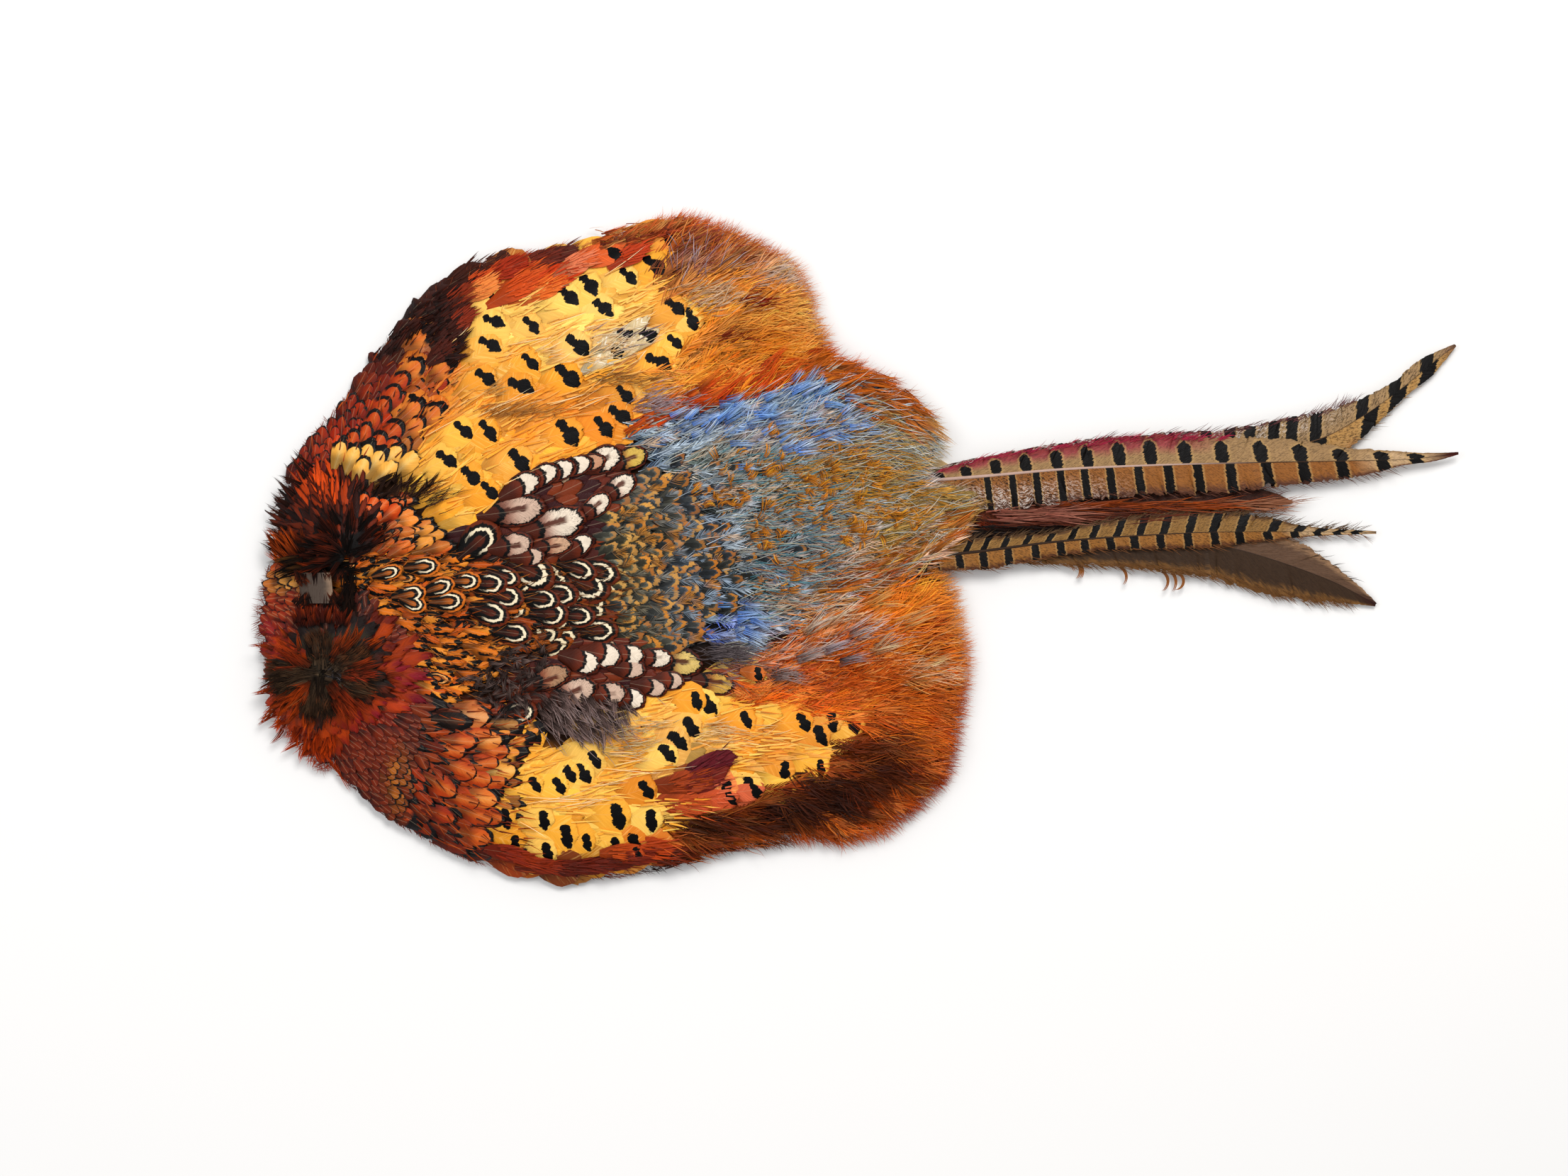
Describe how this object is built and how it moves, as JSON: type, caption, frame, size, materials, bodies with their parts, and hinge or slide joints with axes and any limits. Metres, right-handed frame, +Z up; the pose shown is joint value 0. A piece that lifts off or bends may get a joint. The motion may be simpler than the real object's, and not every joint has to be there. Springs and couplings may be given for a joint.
{
  "type": "pheasant pelt",
  "caption": "Dried cock pheasant pelt lying feather side up, with copper, gold and blue-grey plumage on the skin and long barred tail feathers.",
  "frame": {"origin": "on the surface the pelt lies on, under the centre of its overall box", "axes": "+X along the pelt from the neck towards the tail tips, +Y across it towards the larger golden flank, +Z up, out of the plumage"},
  "size_m": [0.4509, 0.2473, 0.0205],
  "materials": {
    "dried_skin": "dry, matte parchment-like skin",
    "neck_skin": "dry, wrinkled, slightly waxy",
    "neck_ruff": "soft dark feathers with copper and purple edges",
    "throat": "glossy dark maroon feathers",
    "breast": "glossy copper scale-shaped feathers with thin black edges",
    "mantle": "orange-gold feathers with black and cream marks",
    "scapulars": "chestnut feathers with speckled cream centres",
    "back": "dark feathers with ochre bars",
    "rump": "hair-like blue-grey feathers with a rust border",
    "flank": "golden feathers with black tips",
    "belly_fluff": "loose downy orange to dark brown feathers",
    "tail": "stiff olive-tan vanes with black bars and reddish edges"
  },
  "bodies": {
    "root": {"hide": "dried_skin", "neck_skin_tab": "neck_skin", "upper_neck_ruff": "neck_ruff", "lower_neck_ruff": "neck_ruff", "throat_feathers": "throat", "upper_breast_feathers": "breast", "lower_breast_feathers": "breast", "mantle_feathers": "mantle", "upper_scapular_feathers": "scapulars", "lower_scapular_feathers": "scapulars", "back_feathers": "back", "rump_feathers": "rump", "upper_flank_feathers": "flank", "lower_flank_feathers": "flank", "upper_belly_fluff": "belly_fluff", "lower_belly_fluff": "belly_fluff", "tail_feather_top": "tail", "tail_feather_upcurved": "tail", "tail_feather_rufous": "tail", "tail_feather_dark": "tail", "tail_feather_barred": "tail", "tail_feather_grey": "tail"}
  },
  "joints": []
}
